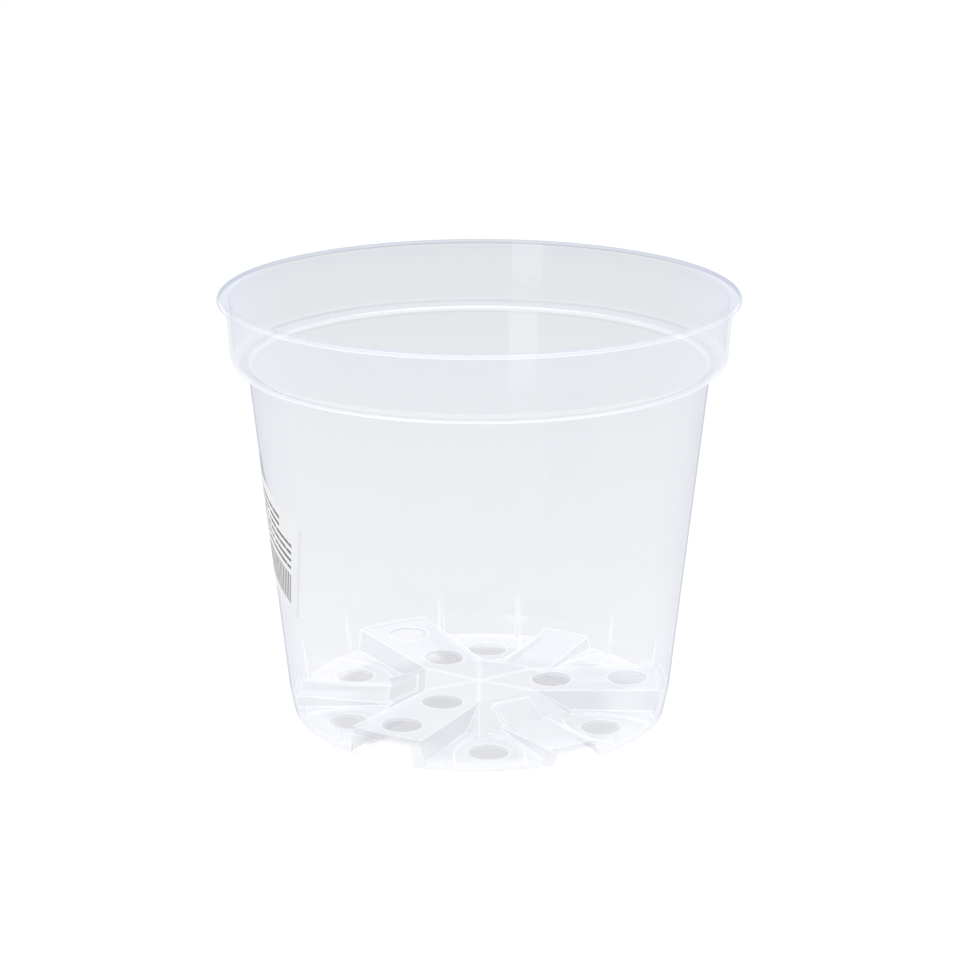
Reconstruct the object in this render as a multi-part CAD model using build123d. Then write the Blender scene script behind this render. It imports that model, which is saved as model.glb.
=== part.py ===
from build123d import *
import os
from math import cos, radians, sin, tan

# Clear orchid pot: one thin moulding with a raised, channelled base, and a paper label on its side.
# Millimetres, +Z up, origin on the ground at the pot's axis. The first high channel runs along +X.

# Overall sizes
rim_diameter = 150.0
pot_height = 125.0
wall = 1.0

# Lip, collar and step
lip_overhang = 2.4
lip_thickness = 1.3
lip_edge = 0.55
collar_height = 20.2
collar_taper = 4.2
collar_corner = 3.6
step_width = 4.6
step_edge = 0.9

# Side wall and skirt
side_taper = 6.0
skirt_height = 8.1
skirt_taper = 11.0
skirt_edge = 0.7

# Feet: a flat floor with a bell-shaped hollow round each drain hole
foot_floor = 1.6
bell_depth = 0.6
bell_tip = 29.5
bell_shoulder = 44.0
bell_half_width = 10.0
bell_pointing = 1.6

# Hub: a shallow six-sided dish on a six-sided frustum, with a bead along each crease
sector_count = 3
roof = 1.0
hub_flat = 16.0
hub_height = 6.5
ramp_foot = 26.8
bead_width = 1.1
bead_rise = 0.35

# High channels, which run level from the hub to the skirt
high_roof_at_wall = 7.9
high_half_width_at_wall = 11.6
high_draft = 13.0
high_notch_width = 19.6
high_notch_draft = 6.0

# Low channels, which climb from the foot of each ramp to the skirt
valley_height = 2.3
low_roof_at_wall = 4.9
low_half_width = 7.6
low_draft = 30.0
low_notch_width = 14.4
low_notch_draft = 12.0

# Drain holes
drain_diameter = 12.0
channel_drains = (21.5, 44.0)
foot_drain = 42.5
foot_drain_angle = 26.5

# Square pads on the ramps
pad_width = 12.0
pad_start = 18.4
pad_end = 27.0
pad_rise = 0.8
pad_draft = 25.0

# Stacking ribs inside the wall, two over each foot
foot_count = 6
rib_angle = 12.7
rib_height = 13.0
rib_depth = 1.3
rib_width = 1.3

# Paper label
label_width = 43.0
label_height = 31.0
label_corner = 2.5
label_thickness = 0.15
label_tilt = 16.5
label_angle = 193.7
label_middle = 57.0

# Worked out from the sizes above
rim_radius = rim_diameter / 2
lip_base = pot_height - lip_thickness
step_base = pot_height - collar_height
step_top = step_base + wall
past = 5.0
sector_angle = 360 / sector_count
low_axis = sector_angle / 2
hub_sides = 2 * sector_count


def run_in(height, taper):
    return height * tan(radians(taper))


def across(thickness, taper):
    return thickness / cos(radians(taper))


collar_top_radius = rim_radius - lip_overhang
collar_base_radius = collar_top_radius - run_in(lip_base - step_base, collar_taper)
side_top_radius = collar_base_radius - step_width
skirt_top_radius = side_top_radius - run_in(step_base - skirt_height, side_taper)
base_radius = skirt_top_radius - run_in(skirt_height, skirt_taper)
skirt_wall = across(wall, skirt_taper)
side_wall = across(wall, side_taper)
collar_wall = across(wall, collar_taper)

channel_end = skirt_top_radius + past
hub_half_side = hub_flat * tan(radians(180 / hub_sides))
roof_slope = (high_roof_at_wall - hub_height) / skirt_top_radius
hub_edge_height = hub_height + roof_slope * hub_flat
ramp_slope = (hub_edge_height - foot_floor) / (ramp_foot - hub_flat)
high_flare = (high_half_width_at_wall - hub_half_side) / (skirt_top_radius - hub_flat)
low_slope = (low_roof_at_wall - valley_height) / (skirt_top_radius - ramp_foot)


def side_radius(height):
    return side_top_radius - run_in(step_base - height, side_taper)


def collar_radius(height):
    return collar_top_radius - run_in(lip_base - height, collar_taper)


def skirt_radius(height):
    return base_radius + run_in(height, skirt_taper)


def ramp_height(along):
    return hub_edge_height - ramp_slope * (along - hub_flat)


def closed_face(points):
    return make_face(Polyline(points, close=True))


def round_corners(face, rounds):
    for radius, height, size in rounds:
        corner = face.vertices().sort_by_distance(Vector(radius, height, 0))[0]
        face = fillet(corner, size)
    return face


def turned(face):
    return revolve(Plane.XZ * face, Axis.Z, 360)


def around(form, first_angle, count):
    return [Rot(0, 0, first_angle + 360 * step / count) * form for step in range(count)]


def cross_plane(along, height=0):
    return Plane((along, 0, height), x_dir=(0, 1, 0), z_dir=(1, 0, 0))


def trapezoid(half_top, top, draft):
    half_base = half_top + run_in(top + past, draft)
    return closed_face([(-half_base, -past), (half_base, -past), (half_top, top), (-half_top, top)])


# Outside and inside of the turned shell


def outer_form():
    points = [
        (0, 0),
        (base_radius, 0),
        (skirt_top_radius, skirt_height),
        (side_top_radius, step_base),
        (collar_base_radius, step_base),
        (collar_top_radius, lip_base),
        (rim_radius, lip_base),
        (rim_radius, pot_height),
        (0, pot_height),
    ]
    rounds = [
        (base_radius, 0, skirt_edge),
        (side_top_radius, step_base, step_edge),
        (collar_base_radius, step_base, collar_corner),
        (rim_radius, lip_base, lip_edge),
        (rim_radius, pot_height, lip_edge),
    ]
    return turned(round_corners(closed_face(points), rounds))


def inner_form():
    floor_radius = skirt_radius(foot_floor) - skirt_wall
    step_inner = side_radius(step_top) - side_wall
    collar_inner = collar_radius(step_top) - collar_wall
    above = pot_height + past
    points = [
        (0, foot_floor),
        (floor_radius, foot_floor),
        (skirt_top_radius - skirt_wall, skirt_height),
        (step_inner, step_top),
        (collar_inner, step_top),
        (collar_radius(above) - collar_wall, above),
        (0, above),
    ]
    rounds = [
        (step_inner, step_top, step_edge + wall),
        (collar_inner, step_top, collar_corner - wall),
    ]
    return turned(round_corners(closed_face(points), rounds))


def skirt_core():
    above = skirt_height + past
    points = [
        (0, -past),
        (skirt_radius(-past) - skirt_wall, -past),
        (skirt_top_radius - skirt_wall, skirt_height),
        (side_radius(above) - side_wall, above),
        (0, above),
    ]
    return turned(closed_face(points))


# The raised base: inset 0 gives its top, and inset of one roof thickness its underside


def ridge(stations, inset, draft):
    narrowing = inset * (1 - sin(radians(draft))) / cos(radians(draft))
    sections = []
    for along, top, half_width in stations:
        face = trapezoid(half_width - narrowing, top - inset, draft)
        sections.append(cross_plane(along) * face)
    return loft(sections, ruled=True)


def high_channel(inset):
    stations = []
    for along in (0, channel_end):
        half_width = hub_half_side + high_flare * (along - hub_flat)
        stations.append((along, hub_height + roof_slope * along, half_width))
    return ridge(stations, inset, high_draft)


def low_channel(inset):
    stations = []
    for along in (hub_flat, channel_end):
        stations.append((along, valley_height + low_slope * (along - ramp_foot), low_half_width))
    return ridge(stations, inset, low_draft)


def hexagon(height, apothem):
    turn = 180 / hub_sides
    outline = RegularPolygon(apothem, hub_sides, major_radius=False, rotation=turn)
    return Pos(0, 0, height) * outline


def hub(inset):
    drop = inset * (1 + ramp_slope**2) ** 0.5
    top = hub_edge_height - inset
    spread_top = hub_flat + (hub_edge_height - drop - top) / ramp_slope
    spread_base = hub_flat + (hub_edge_height - drop + past) / ramp_slope
    frustum = loft([hexagon(-past, spread_base), hexagon(top, spread_top)], ruled=True)
    lid_height = top + past
    lid_apothem = (lid_height + inset - hub_height) / roof_slope
    dish = loft([hexagon(lid_height, lid_apothem), Vertex(0, 0, hub_height - inset)], ruled=True)
    return frustum - dish


def pad(inset):
    stations = []
    for along in (pad_start + inset, pad_end - inset):
        stations.append((along, ramp_height(along) + pad_rise, pad_width / 2))
    return ridge(stations, inset, pad_draft)


def star(inset):
    low = low_channel(inset) + pad(inset)
    sectors = around(high_channel(inset), 0, sector_count) + around(low, low_axis, sector_count)
    return hub(inset) + sectors


def beads():
    half_side = bead_width / 2
    reach = hub_half_side / sin(radians(180 / hub_sides))
    rise = roof_slope * hub_flat
    outline = closed_face([(-half_side, 0), (half_side, 0), (0, bead_rise)])
    start = cross_plane(0, hub_height) * outline
    end = cross_plane(reach, hub_height + rise) * outline
    return around(loft([start, end], ruled=True), 180 / hub_sides, hub_sides)


# Hollows, notches and holes


def bells():
    base = foot_floor - bell_depth
    wide_end = (channel_end, bell_half_width)
    shoulder = (bell_shoulder, bell_half_width)
    tip = (bell_tip, 0)
    midway = ((bell_tip + bell_shoulder) / 2 - bell_pointing, bell_half_width / 2 + bell_pointing)
    half = Line(wide_end, shoulder) + ThreePointArc(shoulder, midway, tip)
    outline = half + Line(tip, (channel_end, 0)) + Line((channel_end, 0), wide_end)
    right = make_face(outline)
    bell = extrude(Pos(0, 0, base) * (right + mirror(right, Plane.XZ)), bell_depth + past)
    cut = []
    for angle in (low_axis - foot_drain_angle, low_axis + foot_drain_angle):
        cut += around(bell, angle, sector_count)
    reach = Cylinder(base_radius - skirt_wall, 2 * channel_end)
    return [form & reach for form in cut]


def notch(channel, width, draft):
    top = high_roof_at_wall + past
    half_top = width / 2 - run_in(top, draft)
    slab = extrude(cross_plane(ramp_foot) * trapezoid(half_top, top, draft), channel_end - ramp_foot)
    return channel & slab


def notches():
    high = notch(high_channel(roof), high_notch_width, high_notch_draft)
    low = notch(low_channel(roof), low_notch_width, low_notch_draft)
    return around(high, 0, sector_count) + around(low, low_axis, sector_count)


def drains():
    drill = Cylinder(drain_diameter / 2, 4 * high_roof_at_wall)
    holes = []
    for radius in channel_drains:
        holes += around(Pos(radius, 0, 0) * drill, 0, sector_count)
    for angle in (low_axis - foot_drain_angle, low_axis + foot_drain_angle):
        holes += around(Pos(foot_drain, 0, 0) * drill, angle, sector_count)
    return holes


def ribs():
    foot_axis = 180 / foot_count
    base = foot_floor / 2
    top = foot_floor + rib_height
    points = [
        (skirt_radius(base) - skirt_wall - rib_depth, base),
        (skirt_radius(base) - skirt_wall / 2, base),
        (side_radius(top) - side_wall / 2, top),
        (side_radius(top) - side_wall, top),
    ]
    rib = extrude(Plane.XZ * closed_face(points), rib_width / 2, both=True)
    left = around(rib, foot_axis - rib_angle, foot_count)
    right = around(rib, foot_axis + rib_angle, foot_count)
    return left + right


def make_pot():
    top_of_base = star(0) + beads()
    cavity = inner_form() + bells() - ribs() - top_of_base
    under = star(roof) & skirt_core()
    shell = outer_form() - cavity - under
    return shell - notches() - drains()


def make_label():
    low = label_middle - label_height
    high = label_middle + label_height
    sheet = [
        (side_radius(low), low),
        (side_radius(low) + label_thickness, low),
        (side_radius(high) + label_thickness, high),
        (side_radius(high), high),
    ]
    outline = Rot(0, 0, -label_tilt) * RectangleRounded(label_width, label_height, label_corner)
    cutter = extrude(cross_plane(0, label_middle) * outline, rim_diameter)
    return Rot(0, 0, label_angle) * (turned(closed_face(sheet)) & cutter)


os.makedirs("parts", exist_ok=True)
export_step(make_pot(), "parts/pot.step")
export_step(make_label(), "parts/price_label.step")
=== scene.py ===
import math

import bmesh
import bpy
from mathutils import Matrix, Vector


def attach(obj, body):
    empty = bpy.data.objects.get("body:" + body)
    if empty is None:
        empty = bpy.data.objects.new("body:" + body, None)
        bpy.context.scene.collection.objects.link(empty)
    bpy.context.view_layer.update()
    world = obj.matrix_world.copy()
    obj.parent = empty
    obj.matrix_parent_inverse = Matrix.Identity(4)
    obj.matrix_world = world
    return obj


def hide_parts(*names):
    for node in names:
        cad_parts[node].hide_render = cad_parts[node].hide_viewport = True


# Clear orchid pot on a plain white stage. Lengths are in metres, in the frame of the solids.
MM = 0.001

# Moulding, as in the solids
POT_HEIGHT = 125.0 * MM
RIM_RADIUS = 75.0 * MM
FOOT_RADIUS = 54.87 * MM
STEP_BASE = 104.8 * MM
SIDE_TOP_RADIUS = 66.61 * MM
SIDE_TAPER = math.radians(6.0)

# Zones of the moulding, a little wider than the forms in them
BASE_TOP = 9.5 * MM
LEDGE_FOOT = STEP_BASE - 2.0 * MM
STEP_ZONE = (LEDGE_FOOT, LEDGE_FOOT + 6.0 * MM)
LIP_BASE = POT_HEIGHT - 1.5 * MM
LIP_OUTSIDE = RIM_RADIUS - 0.7 * MM

# Which way a surface of the moulding looks, by the upward part of its normal
INSIDE_UPWARD = 0.05
OUTSIDE_UPWARD = -0.02
LIP_TOP_UPWARD = 0.3

# What passes through the plastic, by height in mm: the plastic's tint, with painted shade that makes it
# strongest in the collar
TINT_AND_PAINTED_SHADE = [
    (0.0, (0.86, 0.868, 0.89)), (0.875, (0.915, 0.922, 0.94)), (25.0, (0.925, 0.93, 0.947)),
    (56.25, (0.87, 0.876, 0.895)), (93.75, (0.842, 0.849, 0.873)), (112.5, (0.815, 0.822, 0.848)),
    (123.125, (0.81, 0.816, 0.845)), (124.0, (0.815, 0.822, 0.85))]
TINT_BEHIND = (0.985, 0.986, 0.992, 1.0)
# Painted shade on the inside: a little greyer, by height in mm, with a thin painted dark line below and above
# the ledge and a softer one under the lip
INSIDE_SHADE_GREY = (0.92, 0.92, 0.925)
BELOW_LEDGE_SHADE_LINE = (0.865, 0.867, 0.88)
ABOVE_LEDGE_SHADE_LINE = (0.84, 0.842, 0.86)
UNDER_LIP_SHADE_GREY = (0.895, 0.895, 0.905)
INSIDE_PAINTED_SHADE = [
    (103.47, INSIDE_SHADE_GREY), (103.91, BELOW_LEDGE_SHADE_LINE), (104.2, BELOW_LEDGE_SHADE_LINE), (104.44, INSIDE_SHADE_GREY),
    (106.09, INSIDE_SHADE_GREY), (106.35, ABOVE_LEDGE_SHADE_LINE), (106.73, ABOVE_LEDGE_SHADE_LINE), (107.02, INSIDE_SHADE_GREY),
    (119.45, INSIDE_SHADE_GREY), (123.45, UNDER_LIP_SHADE_GREY), (123.89, INSIDE_SHADE_GREY)]
# Painted shade: a steep view darkens the side wall to a thin grey-blue outline, by how far it turns away
OUTLINE_PAINTED_SHADE = [
    (0.0, 1.0), (0.5, 1.0), (0.64, (0.972, 0.974, 0.98)), (0.78, (0.93, 0.94, 0.962)),
    (0.84, (0.87, 0.885, 0.92)), (0.89, (0.7, 0.725, 0.8)), (0.95, (0.6, 0.63, 0.72))]
# Painted shade: the lip's rim is grey-blue where it is seen through the plastic, by how far it turns away
RIM_LEAST = 0.1
RIM_PAINTED_SHADE = [
    (0.0, 1.0), (0.05, (0.8, 0.805, 0.835)), (0.4, (0.76, 0.77, 0.81)), (0.6, (0.66, 0.685, 0.76)),
    (0.85, (0.62, 0.65, 0.74)), (1.0, (0.8, 0.81, 0.86))]
NO_TONE = (1.0, 1.0, 1.0, 1.0)

# The folds of the base are milky: the floor hardly shows through, and they spread light, lighter or darker by
# how level they lie as painted light and shade
MILK_RADII = (0.992 * FOOT_RADIUS, 0.972 * FOOT_RADIUS)
MILK_PASSES = (0.45, 0.453, 0.465, 1.0)
MILK_AND_PAINTED_SLOPE_LIGHT = [(0.0, 0.53), (0.5, 0.47), (0.74, 0.47), (0.78, 0.405), (0.85, 0.405), (0.9, 0.475)]
# Where no wall stands before it, the milk carries the tint itself
MILK_DIMMED = 0.3

# Flow marks of the moulding: long soft streaks down the wall and a faint orange-peel
STREAK_LENGTHENING = 3.0
STREAK_SCALE = 5.0
STREAK_DETAIL = 3.0
STREAK_WEIGHT = 2.0
PEEL_SCALE = 260.0
PEEL_DETAIL = 2.0
MARK_STRENGTH = 0.05
MARK_DEPTH = 0.4 * MM

# Edges look rounded, without a change of the mesh
EDGE_ROUNDING = 0.7 * MM
EDGE_SAMPLES = 8

# Layer Weight's blend at which Facing is one minus the cosine of the angle of view
EVEN_BLEND = 0.5

# Gloss: the share that mirrors, straight on and at a steep view
GLOSS_ROUGHNESS = 0.07
GLOSS_STRAIGHT = 0.08
GLOSS_STEEP = 0.8
GLOSS_LOST_ON_SIDE = 0.68
GLOSS_LOST_IN_NOOK = 0.8
GLOSS_POWER = 5.0
NOOK = (STEP_BASE + 1.1 * MM, STEP_BASE + 3.5 * MM)

# Painted highlights on rounded edges, by height in mm, and how far the rounded normal leaves the plain one
# there
EDGE_LEAVES = (0.003, 0.035)
EDGE_PAINTED_HIGHLIGHT = [
    (0.0, 0.15), (8.75, 0.15), (10.625, 0.1), (25.0, 0.07), (26.25, 0.03), (121.25, 0.03), (123.125, 0.15)]
# Painted highlights on the lip's top and on its outer rim
LIP_TOP_PAINTED_HIGHLIGHT = 0.11
RIM_PAINTED_HIGHLIGHT = 0.12
# Painted highlight bands on the ledge and on the collar's lower corner, by height in mm
LEDGE_PAINTED_HIGHLIGHT = [
    (104.3, 0.0), (104.6, 0.1), (105.32, 0.1), (105.62, 0.0), (106.88, 0.0), (107.12, 0.06), (107.36, 0.0)]
CORNER_PAINTED_HIGHLIGHT = [
    (104.6, 0.0), (104.78, 0.24), (105.5, 0.24), (106.28, 0.06), (107.96, 0.05), (108.2, 0.09), (108.44, 0.0)]
# A painted soft bluish sheen on the collar, by how far it turns away
PAINTED_SHEEN_TONE = [
    (0.35, 0.0), (0.55, (0.01, 0.02, 0.035)), (0.65, (0.018, 0.034, 0.062)), (0.8, (0.02, 0.038, 0.07)),
    (0.92, (0.015, 0.03, 0.06)), (1.0, (0.01, 0.018, 0.03))]

# Paper label
LABEL_WIDTH = 43.0 * MM
LABEL_HEIGHT = 31.0 * MM
LABEL_CORNER = 2.5 * MM
LABEL_THICKNESS = 0.15 * MM
LABEL_TILT = math.radians(16.5)
LABEL_ANGLE = math.radians(193.7)
LABEL_MIDDLE = 57.0 * MM
LABEL_COLUMNS = 36
LABEL_ROWS = 40
# The glued side is unprinted: it shows only this share of the label, a corner of the blank margin
BLANK_MARGIN = 0.05

# Print on the label, in mm: rows of short dashes, then a block of even bars
PRINT_LEFT = 4.0
PRINT_RIGHT = LABEL_WIDTH / MM - 4.2
ROW_START = 2.4
ROW_PITCH = 2.46
ROW_COUNT = 6
ROW_INK = (0.24, 0.62)
SHORT_ROWS = 2
SHORT_BY = 7.5
DASHES_PER_MM = 0.75
DASH_SHIFT = 7.3
DASH_DETAIL = 1.0
DASH_LEAST = 0.4
BAR_PITCH = 1.3
BAR_GAP = 0.5
BAR_HEIGHTS = (18.0, 28.0)
INK_COVER = 0.9
INK_COLOUR = (0.05, 0.05, 0.055, 1.0)
PAPER_TONE = [(0.3, (0.94, 0.945, 0.94)), (0.7, (0.985, 0.985, 0.98))]
PAPER_SCALE = 90.0
PAPER_DETAIL = 4.0
PAPER_ROUGHNESS = 0.6
PAPER_RELIEF = 0.1
PAPER_DEPTH = 0.1 * MM

# Stage: a white floor, with a painted shadow on it under the pot, except at the open notches
FLOOR_RADIUS = 12.0
FLOOR_SIDES = 96
# The floor that is seen glows, and takes a little light and shadow besides
FLOOR_GLOW = 0.88
FLOOR_PAINTED_SHADOW = 0.24
FLOOR_LIT = (0.16, 0.16, 0.16, 1.0)
# The floor that sends light back to the pot is plainly pale
FLOOR_PLAIN = (0.8, 0.8, 0.8, 1.0)
PAINTED_SHADOW_RADII = (0.9 * FOOT_RADIUS, 0.8 * FOOT_RADIUS)
NOTCH_COUNT = 6
NOTCH_EDGES = (0.1, 0.5)
NOTCH_RADII = (0.6 * FOOT_RADIUS, 0.78 * FOOT_RADIUS)
# Light from all round
AMBIENT_COLOUR = (0.97, 0.98, 1.0, 1.0)
AMBIENT_STRENGTH = 0.8
WHITE = (1.0, 1.0, 1.0, 1.0)

# Lamps: place, size and power
LAMP_TARGET = (0.0, 0.0, 0.06)
TOP_LAMP = ((0.0, 0.1, 1.25), (1.2, 1.2), 8.0)
FRONT_LEFT_LAMP = ((-0.38, -0.86, 0.27), (0.27, 0.5), 0.38)

# Camera, from the ellipses of the rim, the step and the feet
CAMERA_PLACE = (0.00019, -0.78233, 0.30338)
CAMERA_PITCH = math.radians(90 - 16.683)
CAMERA_LENS = 105.0
CAMERA_SENSOR = 36.0

# Rays that look through both walls and all the folds of the base pass many surfaces
SEE_THROUGH_BOUNCES = 48

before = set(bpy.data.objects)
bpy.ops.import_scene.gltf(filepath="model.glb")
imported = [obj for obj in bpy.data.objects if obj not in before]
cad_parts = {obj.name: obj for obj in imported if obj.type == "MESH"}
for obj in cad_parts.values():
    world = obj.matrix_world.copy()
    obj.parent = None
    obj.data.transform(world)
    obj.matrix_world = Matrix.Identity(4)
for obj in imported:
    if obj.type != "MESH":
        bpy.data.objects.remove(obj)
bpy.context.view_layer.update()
scene = bpy.context.scene
scene.view_settings.view_transform = "Standard"
scene.cycles.transparent_max_bounces = SEE_THROUGH_BOUNCES


class Nodes:
    """A small helper that adds nodes to one tree and links them."""

    def __init__(self, tree):
        self.tree = tree
        tree.nodes.clear()

    def add(self, kind, inputs=None, **settings):
        node = self.tree.nodes.new(kind)
        for name, value in settings.items():
            setattr(node, name, value)
        for name, value in (inputs or {}).items():
            self.put(node.inputs[name], value)
        return node

    def put(self, socket, value):
        if isinstance(value, bpy.types.NodeSocket):
            self.tree.links.new(value, socket)
        else:
            socket.default_value = value

    def math(self, operation, *values):
        node = self.add("ShaderNodeMath", operation=operation)
        for socket, value in zip(node.inputs, values):
            self.put(socket, value)
        return node.outputs[0]

    def times(self, product, *factors):
        for factor in factors:
            product = self.math("MULTIPLY", product, factor)
        return product

    def plus(self, total, *terms):
        for term in terms:
            total = self.math("ADD", total, term)
        return total

    def flip(self, share):
        return self.math("SUBTRACT", 1.0, share)

    def above(self, value, limit):
        return self.math("GREATER_THAN", value, limit)

    def below(self, value, limit):
        return self.math("LESS_THAN", value, limit)

    def between(self, value, limits):
        low, high = limits
        return self.times(self.above(value, low), self.below(value, high))

    def split(self, vector):
        parts = self.add("ShaderNodeSeparateXYZ", {"Vector": vector})
        return [parts.outputs[axis] for axis in "XYZ"]

    def fade(self, value, limits, interpolation="LINEAR"):
        """0 at the first limit and 1 at the second."""
        low, high = limits
        inputs = {"Value": value, "From Min": low, "From Max": high}
        return self.add("ShaderNodeMapRange", inputs, interpolation_type=interpolation).outputs[0]

    def noise(self, place, scale, detail):
        inputs = {"Vector": place, "Scale": scale, "Detail": detail}
        return self.add("ShaderNodeTexNoise", inputs).outputs["Fac"]

    def facing(self, inputs=None):
        """0 where a surface looks at the viewer and 1 where it is seen edge on."""
        return self.add("ShaderNodeLayerWeight", {"Blend": EVEN_BLEND, **(inputs or {})}).outputs["Facing"]

    def ramp(self, value, stops):
        """A colour by value: each stop has a place and a tone, which is a colour or one grey number."""
        node = self.add("ShaderNodeValToRGB", {"Fac": value})
        band = node.color_ramp
        while len(band.elements) < len(stops):
            band.elements.new(0.5)
        for element, (place, tone) in zip(band.elements, stops):
            colour = tone if isinstance(tone, tuple) else (tone, tone, tone)
            element.position = place
            element.color = (*colour, 1.0)
        return node.outputs["Color"]

    def by_height(self, height, limits, stops):
        """A ramp over heights between two limits, with the stops' places in mm."""
        low, high = limits
        share = self.math("DIVIDE", self.math("SUBTRACT", height, low), high - low)
        return self.ramp(share, [((place * MM - low) / (high - low), tone) for place, tone in stops])

    def mix(self, factor, first, second):
        node = self.add("ShaderNodeMixShader")
        for socket, value in zip(node.inputs, (factor, first, second)):
            self.put(socket, value)
        return node.outputs[0]

    def both(self, first, second):
        node = self.add("ShaderNodeAddShader")
        for socket, value in zip(node.inputs, (first, second)):
            self.put(socket, value)
        return node.outputs[0]

    def mix_colour(self, factor, first, second, blend="MIX"):
        node = self.add("ShaderNodeMix", data_type="RGBA", blend_type=blend)
        self.put(node.inputs["Factor"], factor)
        for name, colour in (("A", first), ("B", second)):
            socket = [s for s in node.inputs if s.name == name and s.type == "RGBA"][0]
            self.put(socket, colour)
        return [s for s in node.outputs if s.type == "RGBA"][0]

    def tinted(self, colour, tone):
        return self.mix_colour(1.0, colour, tone, "MULTIPLY")


def new_material(name):
    material = bpy.data.materials.new(name)
    material.use_nodes = True
    return material, Nodes(material.node_tree)


class Spot:
    """Where a point of the moulding lies, how its surface stands and by which ray it is met, as sockets."""

    def __init__(self, n):
        self.place = n.add("ShaderNodeTexCoord").outputs["Object"]
        x, y, self.height = n.split(self.place)
        self.turn = n.math("ARCTAN2", y, x)
        self.radius = n.math("SQRT", n.math("MULTIPLY_ADD", x, x, n.times(y, y)))
        self.on_side = n.between(self.height, (BASE_TOP, STEP_BASE))

        path = n.add("ShaderNodeLightPath").outputs
        self.glossy_ray = path["Is Glossy Ray"]
        # The first surface that a ray meets has depth 0, and those behind it have more
        self.later = n.above(path["Transparent Depth"], 0.5)
        self.first = n.flip(self.later)

        surface = n.add("ShaderNodeNewGeometry").outputs
        self.normal = surface["Normal"]
        self.from_within = surface["Backfacing"]
        self.outside = n.flip(self.from_within)
        self.upward = n.split(self.normal)[2]
        self.level = n.times(self.upward, self.upward)
        self.inner_face = n.times(n.above(self.upward, INSIDE_UPWARD), self.outside)
        self.outer_face = n.times(n.below(self.upward, OUTSIDE_UPWARD), self.outside)
        self.inner_first = n.times(self.inner_face, self.first)
        self.facing = n.facing()

        on_lip = n.above(self.height, LIP_BASE)
        self.lip_top = n.times(on_lip, n.above(self.upward, LIP_TOP_UPWARD))
        self.on_rim = n.times(on_lip, n.above(self.radius, LIP_OUTSIDE))
        self.plain_side = n.times(n.flip(self.level), n.below(self.height, STEP_BASE))
        in_base = n.times(n.fade(self.radius, MILK_RADII), n.below(self.height, BASE_TOP))
        self.milky = n.times(in_base, self.outside)


def moulding_marks(n, spot):
    """The rounded normal, and the same with the flow marks."""
    streak_height = n.times(spot.height, STREAK_LENGTHENING)
    streak_place = n.add("ShaderNodeCombineXYZ", {"X": spot.turn, "Y": 0.0, "Z": streak_height}).outputs[0]
    streaks = n.noise(streak_place, STREAK_SCALE, STREAK_DETAIL)
    peel = n.noise(spot.place, PEEL_SCALE, PEEL_DETAIL)
    marks = n.plus(n.times(streaks, STREAK_WEIGHT, spot.on_side), peel)
    rounded = n.add("ShaderNodeBevel", {"Radius": EDGE_ROUNDING}, samples=EDGE_SAMPLES).outputs[0]
    bump = n.add("ShaderNodeBump", {"Height": marks, "Strength": MARK_STRENGTH, "Distance": MARK_DEPTH,
                                    "Normal": rounded})
    return rounded, bump.outputs[0]


def passed_colour(n, spot):
    """What passes through: the tint is shown once on a line of sight, and not again in reflections. Its
    change with height, the greyer inside, the dark outline and the grey-blue rim are painted shade.
    """
    # The tint's change with height is painted shade, strongest in the collar.
    tint = n.by_height(spot.height, (0.0, POT_HEIGHT), TINT_AND_PAINTED_SHADE)
    once = n.mix_colour(n.math("MAXIMUM", spot.later, spot.glossy_ray), tint, TINT_BEHIND)
    # Painted shade on inner faces seen first: a little greyer, with thin dark lines at the ledge and under
    # the lip.
    inside_shade = n.by_height(spot.height, (LEDGE_FOOT, POT_HEIGHT), INSIDE_PAINTED_SHADE)
    inside = n.mix_colour(spot.inner_first, once, n.tinted(once, inside_shade))
    passed = n.mix_colour(spot.milky, inside, MILK_PASSES)

    # Painted shade: a thin dark grey-blue outline where the side wall is seen edge on.
    slant = n.times(spot.facing, spot.first, spot.plain_side, spot.outside)
    outline = n.mix_colour(spot.milky, n.ramp(slant, OUTLINE_PAINTED_SHADE), NO_TONE)
    # Painted shade: the lip's rim is grey-blue where it is seen from within.
    rim_facing = n.math("MULTIPLY_ADD", spot.facing, 1.0 - RIM_LEAST, RIM_LEAST)
    rim = n.ramp(n.times(spot.on_rim, spot.from_within, rim_facing), RIM_PAINTED_SHADE)
    return n.tinted(passed, n.tinted(outline, rim))


def gloss_share(n, spot, normal):
    """How much mirrors: most at a steep view, least on the side wall and in the nook above the ledge."""
    glance = n.facing({"Normal": normal})
    most = n.math("MULTIPLY_ADD", spot.plain_side, -GLOSS_LOST_ON_SIDE, GLOSS_STEEP)
    mirror = n.math("MULTIPLY_ADD", n.math("POWER", glance, GLOSS_POWER), most, GLOSS_STRAIGHT)
    nook = n.times(spot.inner_face, n.between(spot.height, NOOK))
    dull = n.math("MULTIPLY_ADD", nook, -GLOSS_LOST_IN_NOOK, 1.0)
    return n.times(mirror, spot.outside, n.flip(spot.glossy_ray), dull)


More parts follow.
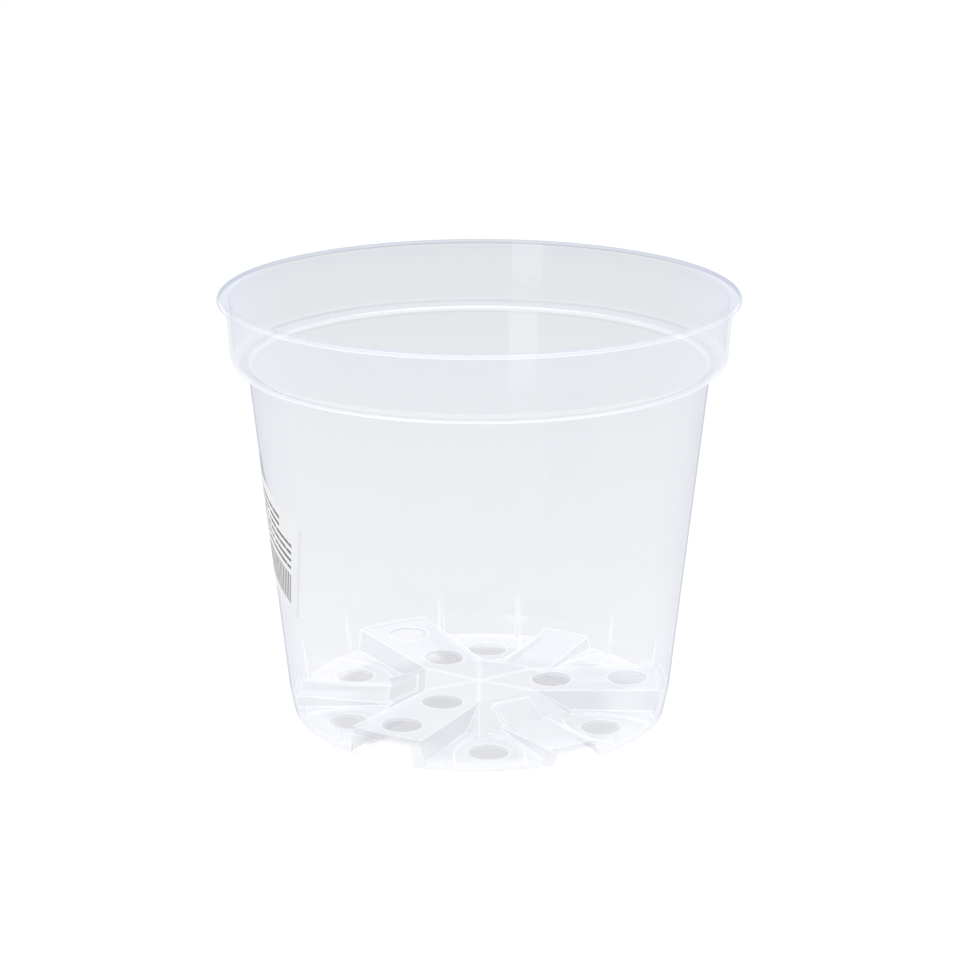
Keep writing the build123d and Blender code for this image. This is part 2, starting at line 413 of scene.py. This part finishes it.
def milk_and_painted_highlights(n, spot, rounded):
    """Painted highlights at edges, lip and step, a painted sheen, and the light of the milky base, lighter or
    darker by slope as painted light and shade.
    """
    # Painted highlights on rounded edges, where the rounded normal leaves the plain one.
    agree = n.add("ShaderNodeVectorMath", operation="DOT_PRODUCT")
    n.put(agree.inputs[0], rounded)
    n.put(agree.inputs[1], spot.normal)
    edge = n.fade(n.flip(agree.outputs["Value"]), EDGE_LEAVES)
    edge_highlight_tone = n.by_height(spot.height, (0.0, POT_HEIGHT), EDGE_PAINTED_HIGHLIGHT)
    edges = n.times(edge, spot.outside, n.flip(spot.lip_top), edge_highlight_tone)

    # Painted highlights on the lip's top and on its outer rim.
    rim = n.times(n.math("SUBTRACT", spot.on_rim, spot.lip_top), RIM_PAINTED_HIGHLIGHT)
    lip_share = n.math("MULTIPLY_ADD", spot.lip_top, LIP_TOP_PAINTED_HIGHLIGHT, rim)
    lip = n.times(n.math("MAXIMUM", lip_share, 0.0), spot.outside)

    # Painted highlight bands on the ledge and on the collar's lower corner.
    ledge = n.times(spot.inner_face, n.by_height(spot.height, STEP_ZONE, LEDGE_PAINTED_HIGHLIGHT))
    corner = n.times(spot.outer_face, n.by_height(spot.height, STEP_ZONE, CORNER_PAINTED_HIGHLIGHT))

    # A painted bluish sheen on the collar where it turns away.
    turned = n.times(spot.facing, spot.first, spot.outside, n.above(spot.height, LEDGE_FOOT))
    sheen = n.ramp(turned, PAINTED_SHEEN_TONE)

    # The milky base's whiteness, lighter or darker by slope as painted light and shade.
    milk_tone = n.math("MULTIPLY_ADD", spot.inner_first, -MILK_DIMMED, 1.0)
    milk = n.times(spot.milky, milk_tone, n.ramp(spot.level, MILK_AND_PAINTED_SLOPE_LIGHT))
    return n.mix_colour(1.0, n.plus(milk, lip, edges, ledge, corner), sheen, "ADD")


def clear_plastic():
    """What is behind shows through, tinted with painted shade, under gloss and under the milky base's light
    and the painted highlights and sheen.
    """
    material, n = new_material("clear_plastic")
    spot = Spot(n)
    rounded, marked = moulding_marks(n, spot)
    clear = n.add("ShaderNodeBsdfTransparent", {"Color": passed_colour(n, spot)})
    gloss = n.add("ShaderNodeBsdfGlossy", {"Roughness": GLOSS_ROUGHNESS, "Normal": marked})
    glassy = n.mix(gloss_share(n, spot, marked), clear.outputs[0], gloss.outputs[0])
    milk_and_painted_light = n.add("ShaderNodeBsdfDiffuse", {"Color": milk_and_painted_highlights(n, spot, rounded)})
    n.add("ShaderNodeOutputMaterial", {"Surface": n.both(glassy, milk_and_painted_light.outputs[0])})
    return material


def label_print(n, uv):
    """1 where there is ink."""
    u, v, _ = n.split(uv)
    across = n.times(u, LABEL_WIDTH / MM)
    down = n.times(n.flip(v), LABEL_HEIGHT / MM)
    margins = n.between(across, (PRINT_LEFT, PRINT_RIGHT))

    row = n.math("DIVIDE", n.math("SUBTRACT", down, ROW_START), ROW_PITCH)
    in_row = n.times(n.between(n.math("FRACT", row), ROW_INK), n.between(row, (0.0, ROW_COUNT)))
    row_end = n.math("MULTIPLY_ADD", n.below(row, SHORT_ROWS), -SHORT_BY, PRINT_RIGHT)
    in_line = n.times(margins, n.below(across, row_end))
    dash_place = n.add("ShaderNodeCombineXYZ", {
        "X": n.times(across, DASHES_PER_MM), "Y": n.times(n.math("FLOOR", row), DASH_SHIFT), "Z": 0.0})
    dash = n.above(n.noise(dash_place.outputs[0], 1.0, DASH_DETAIL), DASH_LEAST)
    text = n.times(in_row, dash, in_line)

    bar = n.above(n.math("FRACT", n.math("DIVIDE", across, BAR_PITCH)), BAR_GAP)
    bars = n.times(bar, n.between(down, BAR_HEIGHTS), margins)
    return n.math("MAXIMUM", text, bars)


def label_paper():
    material, n = new_material("label_paper")
    uv = n.add("ShaderNodeUVMap").outputs[0]
    fibres = n.noise(uv, PAPER_SCALE, PAPER_DETAIL)
    ink = n.times(label_print(n, uv), INK_COVER)
    colour = n.mix_colour(ink, n.ramp(fibres, PAPER_TONE), INK_COLOUR)
    bump = n.add("ShaderNodeBump", {"Height": fibres, "Strength": PAPER_RELIEF, "Distance": PAPER_DEPTH})
    surface = n.add("ShaderNodeBsdfPrincipled", {"Base Color": colour, "Roughness": PAPER_ROUGHNESS,
                                                 "Normal": bump.outputs[0]})
    n.add("ShaderNodeOutputMaterial", {"Surface": surface.outputs[0]})
    return material


def side_radius(height):
    return SIDE_TOP_RADIUS - (STEP_BASE - height) * math.tan(SIDE_TAPER)


def label_point(u, v, lift):
    side = u * math.cos(LABEL_TILT) + v * math.sin(LABEL_TILT)
    up = v * math.cos(LABEL_TILT) - u * math.sin(LABEL_TILT)
    height = LABEL_MIDDLE + up
    radius = side_radius(height) + lift
    point = Vector((math.sqrt(radius * radius - side * side), side, height))
    return Matrix.Rotation(LABEL_ANGLE, 3, "Z") @ point


def label_rows():
    """Points of a sheet with rounded corners, row by row: each row is as wide as the outline is there."""
    sheet = []
    half_width = LABEL_WIDTH / 2
    half_height = LABEL_HEIGHT / 2
    for row in range(LABEL_ROWS + 1):
        v = -half_height * math.cos(math.pi * row / LABEL_ROWS)
        over = max(0.0, abs(v) - (half_height - LABEL_CORNER))
        cut = LABEL_CORNER - math.sqrt(max(0.0, LABEL_CORNER**2 - over**2))
        reach = half_width - cut
        sheet.append([(reach * (2 * step / LABEL_COLUMNS - 1), v) for step in range(LABEL_COLUMNS + 1)])
    return sheet


def label_mesh():
    """A thin curved sheet with both sides and its edges: the print lies on the outer side."""
    mesh = bmesh.new()
    uv_layer = mesh.loops.layers.uv.new("UVMap")
    sheet = label_rows()
    flat = {}

    def side(lift):
        grid = []
        for line in sheet:
            verts = []
            for u, v in line:
                vert = mesh.verts.new(label_point(u, v, lift))
                flat[vert] = (u / LABEL_WIDTH + 0.5, v / LABEL_HEIGHT + 0.5)
                verts.append(vert)
            grid.append(verts)
        return grid

    def face(corners, print_scale=1.0):
        made = mesh.faces.new(corners)
        made.smooth = True
        for loop in made.loops:
            u, v = flat[loop.vert]
            loop[uv_layer].uv = (u * print_scale, v * print_scale)

    inner = side(0.0)
    outer = side(LABEL_THICKNESS)
    for r in range(LABEL_ROWS):
        for c in range(LABEL_COLUMNS):
            face([outer[r][c], outer[r][c + 1], outer[r + 1][c + 1], outer[r + 1][c]])
            face([inner[r][c], inner[r + 1][c], inner[r + 1][c + 1], inner[r][c + 1]], BLANK_MARGIN)
        face([outer[r + 1][0], inner[r + 1][0], inner[r][0], outer[r][0]])
        face([outer[r][-1], inner[r][-1], inner[r + 1][-1], outer[r + 1][-1]])
    for c in range(LABEL_COLUMNS):
        face([outer[0][c], inner[0][c], inner[0][c + 1], outer[0][c + 1]])
        face([outer[-1][c + 1], inner[-1][c + 1], inner[-1][c], outer[-1][c]])
    data = bpy.data.meshes.new("label_sheet")
    mesh.to_mesh(data)
    mesh.free()
    return data


def make_label():
    data = label_mesh()
    data.materials.append(label_paper())
    piece = bpy.data.objects.new("label_sheet", data)
    scene.collection.objects.link(piece)
    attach(piece, "root")
    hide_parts("price_label")


def seen(n):
    """1 for rays from the camera, from reflections and from glass, which all show the white stage."""
    path = n.add("ShaderNodeLightPath").outputs
    shown = n.math("MAXIMUM", path["Is Camera Ray"], path["Is Glossy Ray"])
    return n.math("MAXIMUM", shown, path["Is Transmission Ray"])


def floor_glow_with_painted_shadow(n):
    """How bright the seen floor is by itself: darker under the pot by a painted shadow, except at the open
    notches.
    """
    place = n.add("ShaderNodeTexCoord").outputs["Object"]
    x, y, _ = n.split(place)
    turn = n.math("ARCTAN2", y, x)
    length = n.add("ShaderNodeVectorMath", operation="LENGTH")
    n.put(length.inputs[0], place)
    from_axis = length.outputs["Value"]
    # Painted shadow on the floor under the pot, left out at the open notches.
    under = n.fade(from_axis, PAINTED_SHADOW_RADII, "SMOOTHSTEP")
    notch = n.fade(n.math("COSINE", n.times(turn, NOTCH_COUNT)), NOTCH_EDGES, "SMOOTHSTEP")
    outer = n.fade(from_axis, NOTCH_RADII, "SMOOTHSTEP")
    closed = n.flip(n.times(notch, outer))
    return n.math("MULTIPLY_ADD", n.times(under, closed), -FLOOR_PAINTED_SHADOW, FLOOR_GLOW)


def make_floor():
    material, n = new_material("stage_floor")
    # The floor's glow, with the painted shadow under the pot.
    glow = n.add("ShaderNodeEmission", {"Color": WHITE, "Strength": floor_glow_with_painted_shadow(n)})
    lit = n.add("ShaderNodeBsdfDiffuse", {"Color": FLOOR_LIT})
    plain = n.add("ShaderNodeBsdfDiffuse", {"Color": FLOOR_PLAIN})
    shown = n.both(lit.outputs[0], glow.outputs[0])
    n.add("ShaderNodeOutputMaterial", {"Surface": n.mix(seen(n), plain.outputs[0], shown)})
    bpy.ops.mesh.primitive_circle_add(
        vertices=FLOOR_SIDES, radius=FLOOR_RADIUS, fill_type="NGON", location=(0, 0, 0))
    floor = bpy.context.object
    floor.name = "floor"
    floor.data.materials.append(material)


def make_world():
    world = bpy.data.worlds.new("stage_world")
    world.use_nodes = True
    scene.world = world
    n = Nodes(world.node_tree)
    ambient = n.add("ShaderNodeBackground", {"Color": AMBIENT_COLOUR, "Strength": AMBIENT_STRENGTH})
    white = n.add("ShaderNodeBackground", {"Color": WHITE, "Strength": 1.0})
    n.add("ShaderNodeOutputWorld", {"Surface": n.mix(seen(n), ambient.outputs[0], white.outputs[0])})


def add_lamp(name, place, size, power):
    lamp = bpy.data.lights.new(name, "AREA")
    lamp.shape = "RECTANGLE"
    lamp.size, lamp.size_y = size
    lamp.energy = power
    holder = bpy.data.objects.new(name, lamp)
    holder.location = place
    aim = Vector(LAMP_TARGET) - Vector(place)
    holder.rotation_euler = aim.to_track_quat("-Z", "Y").to_euler()
    holder.visible_camera = False
    scene.collection.objects.link(holder)


def add_camera():
    lens = bpy.data.cameras.new("camera")
    lens.lens = CAMERA_LENS
    lens.sensor_width = CAMERA_SENSOR
    holder = bpy.data.objects.new("camera", lens)
    holder.location = CAMERA_PLACE
    holder.rotation_euler = (CAMERA_PITCH, 0.0, 0.0)
    scene.collection.objects.link(holder)
    scene.camera = holder


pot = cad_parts["pot"]
pot.data.materials.clear()
pot.data.materials.append(clear_plastic())
make_label()
make_floor()
make_world()
add_lamp("top", *TOP_LAMP)
add_lamp("front_left", *FRONT_LEFT_LAMP)
add_camera()
